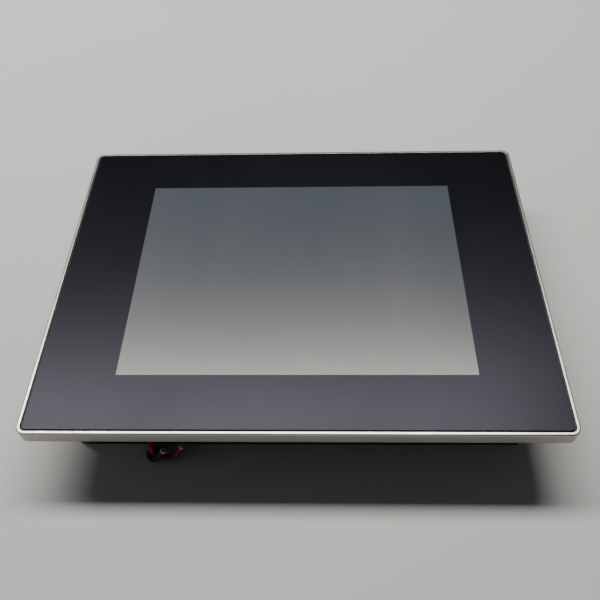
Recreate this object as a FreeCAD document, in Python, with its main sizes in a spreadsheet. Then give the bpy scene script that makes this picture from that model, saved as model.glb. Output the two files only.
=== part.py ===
import FreeCAD, Part
import math
import os
import re
import Sketcher

# A panel-mounted operator touch panel, lying on its back: +Z out of the screen, +Y to the
# screen's top edge, +X to its right. The origin is at the middle of the footprint, at the
# plane that the back of the housing rests on. Every length is in millimetres.

doc = FreeCAD.newDocument("TouchPanel")
sheet = doc.addObject("Spreadsheet::Sheet", "Sizes")
Vector = FreeCAD.Vector

driving = {
    # display and front frame
    "activeWide": (211.2, "lit area of the display, width"),
    "activeTall": (158.4, "lit area of the display, height"),
    "frameWide": (311.0, "front frame, outside width"),
    "frameTall": (235.0, "front frame, outside height"),
    "frameThick": (9.1, "front frame, depth of the side wall"),
    "frameCorner": (5.5, "front frame, outside corner radius"),
    "panelDeep": (50.0, "whole depth, resting plane to the front lip"),
    "lipWide": (2.0, "raised lip round the overlay"),
    "lipEase": (0.8, "rounding of the lip's outer edge"),
    "recessDeep": (1.25, "lip top down to the deck under the overlay"),
    "recessCorner": (3.5, "corner radius inside the lip"),
    "deckRear": (45.4, "height of the deck's rear face"),
    "overlayGap": (0.9, "dark gap between the lip and the overlay"),
    "overlayThick": (0.8, "printed overlay"),
    "glueThick": (0.2, "black adhesive under the overlay and in the gap round it"),
    "glueInset": (0.1, "lip to the adhesive's edge"),
    "overlayBevel": (0.3, "bevel along the overlay's edge"),
    "sensorWide": (229.5, "touch sensor, width"),
    "sensorTall": (176.5, "touch sensor, height"),
    "sensorThick": (2.2, "touch sensor, thickness"),
    "seatGap": (0.75, "play round the sensor in its seat"),
    "sightWide": (217.0, "hole in the deck behind the sensor, width"),
    "sightTall": (164.5, "hole in the deck behind the sensor, height"),
    # sealing
    "grooveWide": (5.0, "gasket groove, width"),
    "grooveDeep": (2.0, "gasket groove, depth"),
    "grooveInset": (6.5, "frame edge to the groove's outer side"),
    "gasketThick": (2.6, "panel gasket, thickness"),
    "gasketGap": (0.2, "play at each side of the gasket"),
    # liquid crystal display
    "moduleWide": (236.0, "display module, width"),
    "moduleTall": (174.3, "display module, height"),
    "moduleRear": (39.0, "height of the module's rear face"),
    "moduleFront": (44.6, "height of the module's front face"),
    "bezelSheet": (0.5, "module's steel bezel, sheet thickness"),
    "cellThick": (1.4, "liquid crystal cell, thickness"),
    # rear housing
    "housingWide": (276.0, "rear housing, width"),
    "housingTall": (198.0, "rear housing, height"),
    "housingCorner": (5.0, "rear housing, corner radius"),
    "housingWall": (2.4, "rear housing, wall"),
    "ledgeTop": (4.2, "top of the ledge that the back cover sits under"),
    "coverWide": (252.8, "back cover, width"),
    "coverTall": (173.6, "back cover, height"),
    "coverSeat": (2.2, "height of the back cover's front face"),
    "coverSheet": (1.6, "back cover, sheet thickness"),
    "coverGap": (0.4, "gap round the back cover"),
    "ventWide": (2.4, "ventilation slot, width"),
    "ventLong": (26.0, "ventilation slot, length"),
    "ventPitch": (6.0, "ventilation slots, spacing"),
    # posts, plate and board
    "postAcross": (122.2, "screw posts, distance from the middle, across"),
    "postOuter": (80.0, "screw posts near the corners, distance from the middle, up"),
    "postInner": (32.0, "screw posts near the middle, distance from the middle, up"),
    "postRadius": (3.6, "screw post"),
    "screwRadius": (1.5, "three millimetre screw"),
    "plateSheet": (1.6, "chassis plate, sheet thickness"),
    "plateWide": (252.4, "chassis plate, width"),
    "plateTall": (172.4, "chassis plate, height"),
    "boardWide": (200.0, "main board, width"),
    "boardTall": (163.0, "main board, height"),
    "boardEdge": (93.0, "middle to the board's connector edge"),
    "boardRear": (24.0, "height of the board's rear face"),
    "boardThick": (1.6, "main board, thickness"),
    "cableWide": (24.0, "display cable, width"),
    # clamping levers
    "pocketAcross": (118.0, "lever pockets of the long sides, distance from the middle"),
    "pocketLong": (28.0, "lever pocket, length along the wall"),
    "pocketDeep": (9.4, "lever pocket, depth into the wall"),
    "pocketFloor": (4.0, "lever pocket, height of its floor"),
    "pocketWall": (2.0, "wall round a lever pocket"),
    "pivotInset": (5.0, "housing side to the lever's pivot"),
    "pivotShift": (9.0, "pocket middle to the lever's pivot"),
    "leverBase": (27.0, "height of the lever's underside"),
    "leverThick": (9.0, "lever, height"),
    "leverReach": (19.0, "lever, pivot to tip"),
    "leverHalf": (3.5, "lever arm, half width"),
    "hubRadius": (4.0, "lever hub"),
    "clampRadius": (2.0, "clamping screw and earth stud, four millimetre"),
    "runningGap": (0.05, "clearance of a turning fit"),
    # power connector
    "plugAcross": (-80.7, "power connector, middle"),
    "polePitch": (7.62, "power connector, pole spacing"),
    "plugWide": (38.0, "power plug, width"),
    "plugLow": (6.9, "power plug, height of its rear side"),
    "plugHigh": (21.1, "power plug, height of its front side"),
    "plugFace": (102.5, "middle to the plug's wire side"),
    "plugBack": (92.6, "middle to the plug's mating side"),
    "noseLong": (8.0, "plug nose, length inside the header"),
    "poleHigh": (14.0, "height of the poles"),
    "cageFace": (101.2, "middle to the face that a wire meets"),
    "wireRadius": (1.7, "wire over its insulation"),
    # other connectors along the bottom side
    "studAcross": (-54.0, "earth stud"),
    "studHigh": (30.0, "height of the earth stud"),
    "studLong": (13.0, "earth stud, wall's inner face to its free end"),
    "studEnd": (6.4, "earth stud, free end beyond the nut, length"),
    "studRoot": (1.62, "earth stud, root of the thread inside its nut"),
    "nutThick": (3.2, "earth nut"),
    "washerThick": (1.0, "earth washer"),
    "networkLeft": (-39.0, "left network port"),
    "networkRight": (-20.0, "right network port"),
    "usbLeft": (-3.0, "left serial bus port"),
    "usbRight": (14.0, "right serial bus port"),
    "serialAcross": (39.5, "nine-way serial port"),
    "serialHigh": (17.4, "nine-way serial port, height of its middle"),
    "doorAcross": (79.0, "service door"),
    "doorWide": (35.0, "service door, width"),
    "doorLow": (10.4, "service door, height of its hinge"),
    "doorTall": (13.6, "service door, hinge to its free edge"),
    "doorThick": (1.4, "service door, thickness"),
}

for row, (alias, (size, meaning)) in enumerate(driving.items(), start=1):
    sheet.set(f"A{row}", meaning)
    sheet.set(f"B{row}", str(size))
    sheet.setAlias(f"B{row}", alias)
doc.recompute()

pieces = []


def bound(text):
    """The expression with every alias in it pointed at the sheet."""
    return re.sub(r"[A-Za-z]\w*", lambda word: "Sizes." + word.group(), str(text))


def value(text):
    """The number that an expression of the sheet's aliases comes to."""
    return float(sheet.evalExpression(str(text)))


def bind(item, sizes):
    """Bind each property of an object to its expression."""
    for name, text in sizes.items():
        item.setExpression(name, bound(text))


def place(item, x, y, z):
    """Bind an object's position to three expressions."""
    bind(item, {"Placement.Base.x": x, "Placement.Base.y": y, "Placement.Base.z": z})


def piece(label, item):
    """Register a finished sub-part under the name that its file gets."""
    item.Label = label
    pieces.append(item)
    return item


# ---- primitives ----

turnsTo = {
    "+x": FreeCAD.Rotation(Vector(0, 1, 0), 90),
    "+y": FreeCAD.Rotation(Vector(1, 0, 0), -90),
    "-y": FreeCAD.Rotation(Vector(1, 0, 0), 90),
    "+z": FreeCAD.Rotation(),
}


def block(wide, deep, tall, x, y, z):
    """A box centred on x and y that stands on z."""
    item = doc.addObject("Part::Box", "Block")
    bind(item, {"Length": wide, "Width": deep, "Height": tall})
    place(item, f"{x} - ({wide})/2", f"{y} - ({deep})/2", z)
    return item


def rod(radius, long, x, y, z, along="+z"):
    """A cylinder that starts at a point and runs along an axis."""
    item = doc.addObject("Part::Cylinder", "Rod")
    bind(item, {"Radius": radius, "Height": long})
    item.Placement.Rotation = turnsTo[along]
    place(item, x, y, z)
    return item


def taper(wideEnd, narrowEnd, long, x, y, z):
    """An upright cone."""
    item = doc.addObject("Part::Cone", "Taper")
    bind(item, {"Radius1": wideEnd, "Radius2": narrowEnd, "Height": long})
    place(item, x, y, z)
    return item


def hexagon(across, long, x, y, z, along="+z"):
    """A six-sided bar, given its circle through the corners."""
    item = doc.addObject("Part::Prism", "Hexagon")
    item.Polygon = 6
    bind(item, {"Circumradius": across, "Height": long})
    item.Placement.Rotation = turnsTo[along]
    place(item, x, y, z)
    return item


def join(*items):
    """Several solids made one."""
    item = doc.addObject("Part::MultiFuse", "Join")
    item.Shapes = list(items)
    return item


def cut(base, *tools):
    """A solid less one or more others."""
    item = doc.addObject("Part::Cut", "Cut")
    item.Base = base
    item.Tool = tools[0] if len(tools) == 1 else join(*tools)
    return item


def together(items):
    """Separate solids kept side by side in one sub-part."""
    item = doc.addObject("Part::Compound", "Together")
    item.Links = list(items)
    return item


# ---- sketched bodies ----


def newBody(name):
    return doc.addObject("PartDesign::Body", name)


def sketchOn(body, role, offset=0):
    """A sketch on one of a body's own origin planes, moved along its normal."""
    sketch = body.newObject("Sketcher::SketchObject", "Outline")
    plane = [item for item in body.Origin.OriginFeatures if item.Role == role][0]
    sketch.AttachmentSupport = [(plane, "")]
    sketch.MapMode = "FlatFace"
    sketch.setExpression("AttachmentOffset.Base.z", bound(offset))
    return sketch


def dimension(sketch, kind, ends, text):
    """A sketch dimension bound to an expression."""
    index = sketch.addConstraint(Sketcher.Constraint(kind, *ends, value(text)))
    sketch.setExpression(f"Constraints[{index}]", bound(text))


def rectangle(sketch, wide, tall, x=0, y=0):
    """A rectangle centred on x and y."""
    first = sketch.GeometryCount
    low = Vector(value(f"{x} - ({wide})/2"), value(f"{y} - ({tall})/2"), 0)
    across = Vector(value(wide), 0, 0)
    upward = Vector(0, value(tall), 0)
    corners = [low, low + across, low + across + upward, low + upward]
    for turn in range(4):
        sketch.addGeometry(Part.LineSegment(corners[turn], corners[(turn + 1) % 4]))
    for turn in range(4):
        ends = (first + turn, 2, first + (turn + 1) % 4, 1)
        sketch.addConstraint(Sketcher.Constraint("Coincident", *ends))
        level = "Horizontal" if turn % 2 == 0 else "Vertical"
        sketch.addConstraint(Sketcher.Constraint(level, first + turn))
    dimension(sketch, "DistanceX", (first, 1, first, 2), wide)
    dimension(sketch, "DistanceY", (first + 1, 1, first + 1, 2), tall)
    dimension(sketch, "DistanceX", (-1, 1, first, 1), f"{x} - ({wide})/2")
    dimension(sketch, "DistanceY", (-1, 1, first, 1), f"{y} - ({tall})/2")


def circle(sketch, radius, x=0, y=0):
    """A circle about x and y."""
    index = sketch.addGeometry(
        Part.Circle(Vector(value(x), value(y), 0), Vector(0, 0, 1), value(radius)))
    dimension(sketch, "Radius", (index,), radius)
    dimension(sketch, "DistanceX", (-1, 1, index, 3), x)
    dimension(sketch, "DistanceY", (-1, 1, index, 3), y)


def feature(body, kind, sketch, long, back):
    """A pad or pocket of a sketch; back turns it against the sketch's normal."""
    item = body.newObject("PartDesign::" + kind, kind)
    item.Profile = sketch
    item.Reversed = back
    item.setExpression("Length", bound(long))
    before = body.Tip.Shape.Volume if body.Tip and body.Tip is not item else 0.0
    body.Tip = item
    doc.recompute()
    if abs(item.Shape.Volume - before) < 1e-6:
        raise RuntimeError(f"{body.Name}: a {kind} changed nothing")
    return item


def pad(body, sketch, long, back=False):
    return feature(body, "Pad", sketch, long, back)


def pocket(body, sketch, long, back=False):
    return feature(body, "Pocket", sketch, long, back)


def ease(body, kind, size, wanted):
    """Fillet or chamfer the edges that a test picks."""
    doc.recompute()
    base = body.Tip
    names = [f"Edge{i}" for i, edge in enumerate(base.Shape.Edges, 1) if wanted(edge)]
    item = body.newObject("PartDesign::" + kind, kind)
    item.Base = (base, names)
    item.setExpression("Radius" if kind == "Fillet" else "Size", bound(size))
    body.Tip = item
    doc.recompute()
    return item


def repeat(body, features, sketch, axis, long, count):
    """A straight pattern of features along one of a sketch's axes."""
    item = body.newObject("PartDesign::LinearPattern", "Pattern")
    item.Originals = features
    item.Direction = (sketch, [axis])
    item.setExpression("Length", bound(long))
    item.Occurrences = count
    body.Tip = item
    doc.recompute()
    return item


def upright(x, y, slack=0.2):
    """A test for vertical edges at a distance of x and y from the middle."""
    def wanted(edge):
        ends = [vertex.Point for vertex in edge.Vertexes]
        if len(ends) < 2 or abs(ends[0].z - ends[1].z) < 0.1:
            return False
        near = [abs(abs(end.x) - x) < slack and abs(abs(end.y) - y) < slack for end in ends]
        return all(near)
    return wanted


def level(height, wide, tall):
    """A test for the edges at a height that run round a given rectangle."""
    def wanted(edge):
        box = edge.BoundBox
        flat = abs(box.ZMin - height) < 1e-3 and abs(box.ZMax - height) < 1e-3
        onSide = abs(max(abs(box.XMin), abs(box.XMax)) - wide / 2) < 0.05
        onEnd = abs(max(abs(box.YMin), abs(box.YMax)) - tall / 2) < 0.05
        return flat and (onSide or onEnd)
    return wanted


# ---- places that several sub-parts share ----

frameRear = "(panelDeep - frameThick)"
deckTop = "(panelDeep - recessDeep)"
overlayBase = "(panelDeep - recessDeep + glueThick)"
plateRear = "(moduleRear - plateSheet)"
boardFront = "(boardRear + boardThick)"

posts = [(f"{side}*postAcross", f"{way}*{post}")
         for side in (-1, 1) for post in ("postOuter", "postInner") for way in (-1, 1)]

spacers = [(f"{side}*92", y) for side in (-1, 1) for y in ("-75", "-8", "62")]

# Each lever pocket: the side of the housing it opens to, its middle along that side, the
# pivot's place along that side, and which way the stowed arm points.
longSides = [("y", end, f"{side}*pocketAcross", f"{side}*(pocketAcross + pivotShift)", -side)
             for end in (-1, 1) for side in (-1, 1)]
shortSides = [("x", side, "0", "pivotShift", -1) for side in (-1, 1)]
clamps = longSides + shortSides


def alongSide(facing, end, along, inset):
    """The place at a distance along one side of the housing and inset from its face."""
    if facing == "y":
        return along, f"{end}*(housingTall/2 - {inset})"
    return f"{end}*(housingWide/2 - {inset})", along


def clampOutline(sketch, inset, growth):
    """The footprints of the lever pockets, grown at the ends and back by a wall."""
    long = f"(pocketLong + 2*{growth})"
    deep = f"(pocketDeep + {growth} - {inset})"
    for facing, end, middle, pivot, way in clamps:
        x, y = alongSide(facing, end, middle, f"({deep}/2 + {inset})")
        if facing == "y":
            rectangle(sketch, long, deep, x, y)
        else:
            rectangle(sketch, deep, long, x, y)


# ---- front frame and what it carries ----


def frontFrame():
    body = newBody("FrontFrame")
    outline = sketchOn(body, "XY_Plane", frameRear)
    rectangle(outline, "frameWide", "frameTall")
    pad(body, outline, "frameThick")
    corners = upright(value("frameWide/2"), value("frameTall/2"))
    ease(body, "Fillet", "frameCorner", corners)

    recess = sketchOn(body, "XY_Plane", "panelDeep")
    rectangle(recess, "frameWide - 2*lipWide", "frameTall - 2*lipWide")
    pocket(body, recess, "recessDeep")
    corners = upright(value("frameWide/2 - lipWide"), value("frameTall/2 - lipWide"))
    ease(body, "Fillet", "recessCorner", corners)

    seat = sketchOn(body, "XY_Plane", deckTop)
    rectangle(seat, "sensorWide + 2*seatGap", "sensorTall + 2*seatGap")
    pocket(body, seat, "sensorThick")
    sight = sketchOn(body, "XY_Plane", deckTop)
    rectangle(sight, "sightWide", "sightTall")
    pocket(body, sight, "recessDeep + sensorThick + 2")
    tailSlot = sketchOn(body, "XY_Plane", deckTop)
    rectangle(tailSlot, "16", "3", "40", "-sensorTall/2 - 1")
    pocket(body, tailSlot, f"{deckTop} - deckRear + 1")

    hollow = sketchOn(body, "XY_Plane", frameRear)
    rectangle(hollow, "housingWide + 1", "housingTall + 1")
    pocket(body, hollow, f"deckRear - {frameRear}", back=True)

    groove = sketchOn(body, "XY_Plane", frameRear)
    rectangle(groove, "frameWide - 2*grooveInset", "frameTall - 2*grooveInset")
    inner = "grooveInset + grooveWide"
    rectangle(groove, f"frameWide - 2*({inner})", f"frameTall - 2*({inner})")
    pocket(body, groove, "grooveDeep", back=True)

    pins = sketchOn(body, "XY_Plane", "moduleRear")
    for x, y in posts:
        circle(pins, "postRadius", x, y)
    pad(body, pins, "deckRear - moduleRear + 0.5")
    tapped = sketchOn(body, "XY_Plane", "moduleRear")
    for x, y in posts:
        circle(tapped, "screwRadius", x, y)
    pocket(body, tapped, "5", back=True)

    bearings = sketchOn(body, "XY_Plane", "deckRear")
    for facing, end, middle, pivot, way in clamps:
        x, y = alongSide(facing, end, pivot, "pivotInset")
        circle(bearings, "clampRadius + runningGap", x, y)
    pocket(body, bearings, "1.6", back=True)

    rim = level(value("panelDeep"), value("frameWide"), value("frameTall"))
    ease(body, "Fillet", "lipEase", rim)
    piece("front_frame", body)


def panelGasket():
    body = newBody("PanelGasket")
    outline = sketchOn(body, "XY_Plane", f"{frameRear} + grooveDeep - gasketThick")
    outer = "grooveInset + gasketGap"
    inner = "grooveInset + grooveWide - gasketGap"
    rectangle(outline, f"frameWide - 2*({outer})", f"frameTall - 2*({outer})")
    rectangle(outline, f"frameWide - 2*({inner})", f"frameTall - 2*({inner})")
    pad(body, outline, "gasketThick")
    piece("panel_gasket", body)


def frontOverlay():
    body = newBody("FrontOverlay")
    outline = sketchOn(body, "XY_Plane", overlayBase)
    inset = "2*(lipWide + overlayGap)"
    rectangle(outline, f"frameWide - {inset}", f"frameTall - {inset}")
    pad(body, outline, "overlayThick")
    wide = value(f"frameWide - {inset}")
    tall = value(f"frameTall - {inset}")
    ease(body, "Fillet", "recessCorner - overlayGap", upright(wide / 2, tall / 2))
    ease(body, "Chamfer", "overlayBevel", level(value(f"{overlayBase} + overlayThick"), wide, tall))
    window = sketchOn(body, "XY_Plane", overlayBase)
    rectangle(window, "activeWide", "activeTall")
    pocket(body, window, "overlayThick", back=True)
    piece("front_overlay", body)
    film = block("activeWide", "activeTall", "glueThick + overlayThick", "0", "0", deckTop)
    piece("window_film", film)


def overlayAdhesive():
    body = newBody("OverlayAdhesive")
    outline = sketchOn(body, "XY_Plane", deckTop)
    inset = "2*(lipWide + glueInset)"
    rectangle(outline, f"frameWide - {inset}", f"frameTall - {inset}")
    pad(body, outline, "glueThick")
    wide = value(f"frameWide - {inset}")
    tall = value(f"frameTall - {inset}")
    ease(body, "Fillet", "recessCorner", upright(wide / 2, tall / 2))
    window = sketchOn(body, "XY_Plane", deckTop)
    rectangle(window, "activeWide + 4", "activeTall + 4")
    pocket(body, window, "glueThick", back=True)
    piece("overlay_adhesive", body)


def touchSensor():
    sensor = block("sensorWide", "sensorTall", "sensorThick", "0", "0", f"{deckTop} - sensorThick")
    piece("touch_sensor", sensor)
    body = newBody("TouchTail")
    outline = sketchOn(body, "YZ_Plane", "40")
    edge = "sensorTall/2"
    high = f"({deckTop} - 1.3)"
    rectangle(outline, "1.2", "0.3", f"-{edge} - 0.6", f"{high} + 0.15")
    pad(body, outline, "6")
    drop = sketchOn(body, "YZ_Plane", "40")
    rectangle(drop, "0.3", f"{high} + 0.3 - {boardFront}", f"-{edge} - 1.05",
              f"({high} + 0.3 + {boardFront})/2")
    pad(body, drop, "6")
    socket = sketchOn(body, "YZ_Plane", "39")
    rectangle(socket, "3.5", "2", f"-{edge} - 1.05", f"{boardFront} + 1")
    pad(body, socket, "8")
    piece("touch_tail", body)


# ---- display module ----


def displayModule():
    foam = newBody("FoamGasket")
    outline = sketchOn(foam, "XY_Plane", "moduleFront")
    rectangle(outline, "moduleWide - 6", "moduleTall - 2")
    rectangle(outline, "sightWide", "sightTall")
    pad(foam, outline, "deckRear - moduleFront")
    piece("foam_gasket", foam)

    bezel = newBody("LcdBezel")
    shell = sketchOn(bezel, "XY_Plane", "moduleRear")
    rectangle(shell, "moduleWide", "moduleTall")
    pad(bezel, shell, "moduleFront - moduleRear")
    inside = sketchOn(bezel, "XY_Plane", "moduleRear")
    rectangle(inside, "moduleWide - 2*bezelSheet", "moduleTall - 2*bezelSheet")
    pocket(bezel, inside, "moduleFront - moduleRear - bezelSheet", back=True)
    window = sketchOn(bezel, "XY_Plane", "moduleFront")
    rectangle(window, "activeWide + 3", "activeTall + 3")
    pocket(bezel, window, "2*bezelSheet")
    piece("lcd_bezel", bezel)

    inner = "(2*bezelSheet + 0.4)"
    cellRear = "moduleFront - bezelSheet - cellThick"
    cell = block(f"moduleWide - {inner} - 4", f"moduleTall - {inner} - 2", "cellThick",
                 "0", "0", cellRear)
    piece("lcd_glass", cell)
    tray = block(f"moduleWide - {inner}", f"moduleTall - {inner}", f"{cellRear} - moduleRear",
                 "0", "0", "moduleRear")
    piece("backlight_unit", tray)

    plate = newBody("ChassisPlate")
    sheetOutline = sketchOn(plate, "XY_Plane", plateRear)
    rectangle(sheetOutline, "plateWide", "plateTall")
    for x, y in posts:
        circle(sheetOutline, "screwRadius", x, y)
    for x, y in spacers:
        circle(sheetOutline, "screwRadius", x, y)
    rectangle(sheetOutline, "34", "20", "-50", "56")
    for side in (-1, 1):
        rectangle(sheetOutline, "60", "22", f"{side}*44", "8")
        rectangle(sheetOutline, "60", "22", f"{side}*44", "-34")
    pad(plate, sheetOutline, "plateSheet")
    piece("chassis_plate", plate)


def standoffs():
    bars = []
    for x, y in posts:
        bar = hexagon("3.2", f"{plateRear} - ledgeTop", x, y, "ledgeTop")
        stud = rod("screwRadius", "plateSheet + 4.5", x, y, plateRear)
        hole = rod("screwRadius", "9", x, y, "ledgeTop")
        bars.append(cut(join(bar, stud), hole))
    piece("hex_standoffs", together(bars))


# ---- rear housing ----


def wallOpening(body, wide, low, high, x):
    """A rectangular hole through the housing's bottom side."""
    hole = sketchOn(body, "XZ_Plane", "housingTall/2 + 1")
    rectangle(hole, wide, f"{high} - ({low})", x, f"({high} + ({low}))/2")
    pocket(body, hole, "housingWall + 4")


def rearHousing():
    body = newBody("RearHousing")
    outline = sketchOn(body, "XY_Plane")
    rectangle(outline, "housingWide", "housingTall")
    pad(body, outline, "deckRear")
    ease(body, "Fillet", "housingCorner", upright(value("housingWide/2"), value("housingTall/2")))

    inside = sketchOn(body, "XY_Plane", "deckRear")
    rectangle(inside, "housingWide - 2*housingWall", "housingTall - 2*housingWall")
    pocket(body, inside, "deckRear - ledgeTop")
    blocks = sketchOn(body, "XY_Plane", "ledgeTop - 0.5")
    clampOutline(blocks, "1", "pocketWall")
    pad(body, blocks, "deckRear - ledgeTop + 0.5")
    doorBlock = sketchOn(body, "XY_Plane", "ledgeTop - 0.5")
    rectangle(doorBlock, "doorWide + 8", "3", "doorAcross", "-housingTall/2 + housingWall + 1")
    pad(body, doorBlock, "doorLow + doorTall - ledgeTop + 3.5")
    pockets = sketchOn(body, "XY_Plane", "deckRear")
    clampOutline(pockets, "-1", "0")
    pocket(body, pockets, "deckRear - pocketFloor")

    seat = sketchOn(body, "XY_Plane")
    rectangle(seat, "coverWide + 2*coverGap", "coverTall + 2*coverGap")
    pocket(body, seat, "coverSeat", back=True)
    rear = sketchOn(body, "XY_Plane")
    rectangle(rear, "2*postAcross - 10", "2*postOuter - 2")
    pocket(body, rear, "ledgeTop", back=True)
    screws = sketchOn(body, "XY_Plane")
    for x, y in posts:
        circle(screws, "screwRadius", x, y)
    pocket(body, screws, "ledgeTop", back=True)

    shafts = sketchOn(body, "XY_Plane")
    heads = sketchOn(body, "XY_Plane")
    for facing, end, middle, pivot, way in clamps:
        x, y = alongSide(facing, end, pivot, "pivotInset")
        circle(shafts, "clampRadius + 0.2", x, y)
        circle(heads, "clampRadius + 1.8", x, y)
    pocket(body, shafts, "pocketFloor", back=True)
    pocket(body, heads, "2.6", back=True)

    wallOpening(body, "plugWide + 1", "plugLow - 0.5", "plugHigh + 0.5", "plugAcross")
    for port in ("networkLeft", "networkRight"):
        wallOpening(body, "16.6", "boardRear - 13.7", "boardRear + 0.3", port)
    for port in ("usbLeft", "usbRight"):
        wallOpening(body, "13.8", "boardRear - 6.4", "boardRear + 0.2", port)
    wallOpening(body, "18", "serialHigh - 4.8", "serialHigh + 4.8", "serialAcross")
    wallOpening(body, "doorWide - 2", "doorLow + 2.2", "doorLow + doorTall + 0.2", "doorAcross")

    holes = sketchOn(body, "XZ_Plane", "housingTall/2 + 1")
    circle(holes, "clampRadius + 0.1", "studAcross", "studHigh")
    for side in (-1, 1):
        circle(holes, "1.7", f"serialAcross + {side}*12.5", "serialHigh")
    pocket(body, holes, "housingWall + 2")

    doorSeat = sketchOn(body, "XZ_Plane", "housingTall/2 + 1")
    rectangle(doorSeat, "doorWide + 0.8", "doorTall + 2.4", "doorAcross",
              "doorLow + doorTall/2 - 0.8")
    pocket(body, doorSeat, "doorThick + 1.5")
    pinHole = sketchOn(body, "YZ_Plane", "doorAcross - doorWide/2 - 2.5")
    circle(pinHole, "0.6", "-housingTall/2 + doorThick/2 + 0.1", "doorLow")
    pocket(body, pinHole, "doorWide + 5", back=True)

    slot = sketchOn(body, "XZ_Plane", "-housingTall/2 - 1")
    rectangle(slot, "ventWide", "ventLong", "-14*ventPitch", "20")
    vent = pocket(body, slot, "housingWall + 2", back=True)
    repeat(body, [vent], slot, "H_Axis", "28*ventPitch", 29)
    piece("rear_housing", body)


def backCover():
    body = newBody("BackCover")
    outline = sketchOn(body, "XY_Plane", "coverSeat - coverSheet")
    rectangle(outline, "coverWide", "coverTall")
    pad(body, outline, "coverSheet")
    holes = sketchOn(body, "XY_Plane", "coverSeat - coverSheet")
    for x, y in posts:
        circle(holes, "screwRadius", x, y)
    pocket(body, holes, "coverSheet", back=True)
    sinks = [edge for edge in range(1, len(body.Tip.Shape.Edges) + 1)
             if isRearHole(body.Tip.Shape.Edges[edge - 1])]
    base = body.Tip
    flare = body.newObject("PartDesign::Chamfer", "Countersink")
    flare.Base = (base, [f"Edge{edge}" for edge in sinks])
    flare.setExpression("Size", bound("coverSheet - 0.3"))
    body.Tip = flare
    for high in ("52", "-52"):
        slot = sketchOn(body, "XY_Plane", "coverSeat - coverSheet")
        rectangle(slot, "ventWide", "ventLong", "-12*ventPitch", high)
        vent = pocket(body, slot, "coverSheet", back=True)
        repeat(body, [vent], slot, "H_Axis", "24*ventPitch", 25)
    piece("back_cover", body)
    label = block("90", "44", "0.2", "0", "0", "coverSeat - coverSheet - 0.2")
    piece("rating_label", label)


def isRearHole(edge):
    """True for the rear rim of one of the cover's screw holes."""
    if not isinstance(edge.Curve, Part.Circle):
        return False
    flat = abs(edge.BoundBox.ZMax - value("coverSeat - coverSheet")) < 1e-3
    return flat and abs(edge.Curve.Radius - value("screwRadius")) < 1e-3


def coverScrews():
    screws = []
    low = "(coverSeat - coverSheet)"
    for x, y in posts:
        head = taper("screwRadius + coverSheet - 0.3", "screwRadius", "coverSheet - 0.3", x, y, low)
        shank = rod("screwRadius", "9", x, y, low)
        recess = hexagon("1.1", "0.9", x, y, low)
        screws.append(cut(join(head, shank), recess))
    piece("cover_screws", together(screws))


# ---- clamping levers ----


def clampScrews():
    screws = []
    for facing, end, middle, pivot, way in clamps:
        x, y = alongSide(facing, end, pivot, "pivotInset")
        head = rod("clampRadius + 1.5", "2.2", x, y, "0.4")
        shank = rod("clampRadius", "deckRear - 1.4", x, y, "2.6")
        recess = hexagon("1.75", "1.5", x, y, "0.4")
        screws.append(cut(join(head, shank), recess))
    piece("clamp_screws", together(screws))


def clampLever(number, facing, end, pivot, way):
    """A lever that lies along its pocket when stowed: hub, arm and a raised foot."""
    x, y = alongSide(facing, end, pivot, "pivotInset")
    body = newBody(f"ClampLever{number}")
    hub = sketchOn(body, "XY_Plane")
    circle(hub, "hubRadius")
    pad(body, hub, "leverThick")
    arm = sketchOn(body, "XY_Plane")
    rectangle(arm, "leverReach", "2*leverHalf", "leverReach/2")
    pad(body, arm, "leverThick - 2")
    foot = sketchOn(body, "XY_Plane")
    rectangle(foot, "6", "2*leverHalf", "leverReach - 3")
    pad(body, foot, "leverThick + 2.5")
    tip = upright(value("leverReach"), value("leverHalf"))
    ease(body, "Fillet", "1.5", tip)
    bore = sketchOn(body, "XY_Plane")
    circle(bore, "clampRadius + runningGap")
    pocket(body, bore, "leverThick + 1", back=True)
    quarter = {("y", 1): 0, ("y", -1): 180, ("x", -1): 270}[(facing, way)]
    body.Placement.Rotation = FreeCAD.Rotation(Vector(0, 0, 1), quarter)
    place(body, x, y, "leverBase")
    piece(f"clamp_lever_{number}", body)


def clampLevers():
    for number, (facing, end, middle, pivot, way) in enumerate(clamps, start=1):
        clampLever(number, facing, end, pivot, way)


# ---- main board ----


def mainBoard():
    body = newBody("MainBoard")
    outline = sketchOn(body, "XY_Plane", "boardRear")
    rectangle(outline, "boardWide", "boardTall", "0", "boardTall/2 - boardEdge")
    for x, y in spacers:
        circle(outline, "screwRadius", x, y)
    pad(body, outline, "boardThick")
    piece("main_board", body)

    sleeves = [cut(hexagon("3", f"{plateRear} - {boardFront}", x, y, boardFront),
                   rod("screwRadius", f"{plateRear} - {boardFront}", x, y, boardFront))
               for x, y in spacers]
    piece("board_spacers", together(sleeves))

    screws = []
    for x, y in spacers:
        head = rod("2.8", "1.8", x, y, "boardRear - 1.8")
        shank = rod("screwRadius", f"{plateRear} + plateSheet - boardRear", x, y, "boardRear")
        recess = hexagon("1.1", "1", x, y, "boardRear - 1.8")
        screws.append(cut(join(head, shank), recess))
    piece("board_screws", together(screws))


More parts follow.
